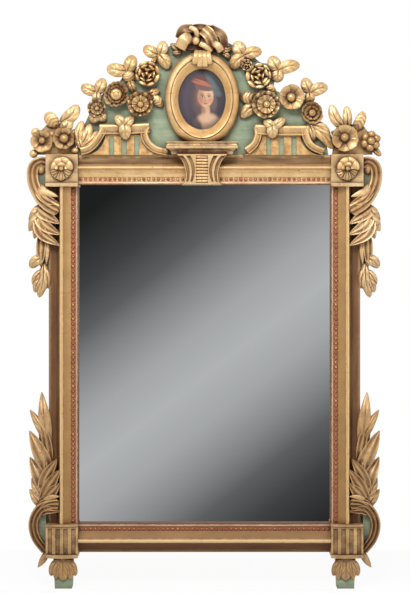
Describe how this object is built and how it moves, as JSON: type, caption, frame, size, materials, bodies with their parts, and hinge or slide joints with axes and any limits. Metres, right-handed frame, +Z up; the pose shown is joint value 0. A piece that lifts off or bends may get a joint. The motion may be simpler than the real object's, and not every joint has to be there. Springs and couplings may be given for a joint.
{
  "type": "pediment wall mirror",
  "caption": "Upright wall mirror in a gilded moulded frame with corner blocks, side leaf scrolls and a carved flower pediment round an oval painted medallion.",
  "frame": {"origin": "middle of the top rail's back face, on the wall plane", "axes": "+X to the viewer's right, +Y into the wall, +Z up along the mirror"},
  "size_m": [0.7122, 0.0716, 1.1279],
  "materials": {
    "gilt_wood": "worn water gilding over red clay, burnished on the high parts",
    "painted_wood": "old matt grey-green paint with gilt fillets",
    "bare_pine": "old bare softwood, dry and darkened",
    "mirror_plate": "flat silvered plate",
    "painted_panel": "oil paint on a thin panel under old varnish",
    "black_iron": "forged iron with a dull dark skin"
  },
  "bodies": {
    "frame": {"acanthus_lower_left": "gilt_wood", "acanthus_lower_right": "gilt_wood", "acanthus_upper_left": "gilt_wood", "acanthus_upper_right": "gilt_wood", "back_nails": "black_iron", "back_plank_lower": "bare_pine", "back_plank_middle": "bare_pine", "back_plank_upper": "bare_pine", "bottom_rail": "gilt_wood", "bouquet_left_flower_inner": "gilt_wood", "bouquet_left_flower_outer": "gilt_wood", "bouquet_left_spray": "gilt_wood", "bouquet_right_flower_inner": "gilt_wood", "bouquet_right_flower_outer": "gilt_wood", "bouquet_right_spray": "gilt_wood", "corner_block_left": "gilt_wood", "corner_block_right": "gilt_wood", "corner_rosette_left": "gilt_wood", "corner_rosette_right": "gilt_wood", "fluted_panel_left": "painted_wood", "fluted_panel_right": "painted_wood", "foot_leaf_left": "gilt_wood", "foot_leaf_right": "gilt_wood", "foot_left": "painted_wood", "foot_right": "painted_wood", "garland_left_anemone": "gilt_wood", "garland_left_daisy": "gilt_wood", "garland_left_leaves_lower": "gilt_wood", "garland_left_leaves_middle": "gilt_wood", "garland_left_leaves_upper": "gilt_wood", "garland_left_rose": "gilt_wood", "garland_right_anemone": "gilt_wood", "garland_right_daisy": "gilt_wood", "garland_right_leaves_lower": "gilt_wood", "garland_right_leaves_middle": "gilt_wood", "garland_right_leaves_upper": "gilt_wood", "garland_right_rose": "gilt_wood", "glass_blocks": "bare_pine", "hanger_plates": "black_iron", "joint_pegs": "bare_pine", "medallion_clasp": "gilt_wood", "medallion_frame": "gilt_wood", "medallion_portrait": "painted_panel", "medallion_shelf": "gilt_wood", "mirror_glass": "mirror_plate", "pediment_board": "painted_wood", "plinth_block_left": "gilt_wood", "plinth_block_right": "gilt_wood", "rail_console": "gilt_wood", "ribbon_bow": "gilt_wood", "scroll_frame_left": "gilt_wood", "scroll_frame_right": "gilt_wood", "stile_left": "gilt_wood", "stile_right": "gilt_wood", "top_rail": "gilt_wood", "wood_screws": "black_iron"},
    "ring_left": {"hanger_ring_left": "black_iron"},
    "ring_right": {"hanger_ring_right": "black_iron"}
  },
  "joints": [
    {"name": "ring_left_swing", "type": "hinge", "parent": "frame", "child": "ring_left", "pos_m": [-0.29, 0.00366, -0.104], "axis": [1, 0, 0], "range_deg": [0, 170]},
    {"name": "ring_right_swing", "type": "hinge", "parent": "frame", "child": "ring_right", "pos_m": [0.29, 0.00366, -0.104], "axis": [1, 0, 0], "range_deg": [0, 170]}
  ]
}
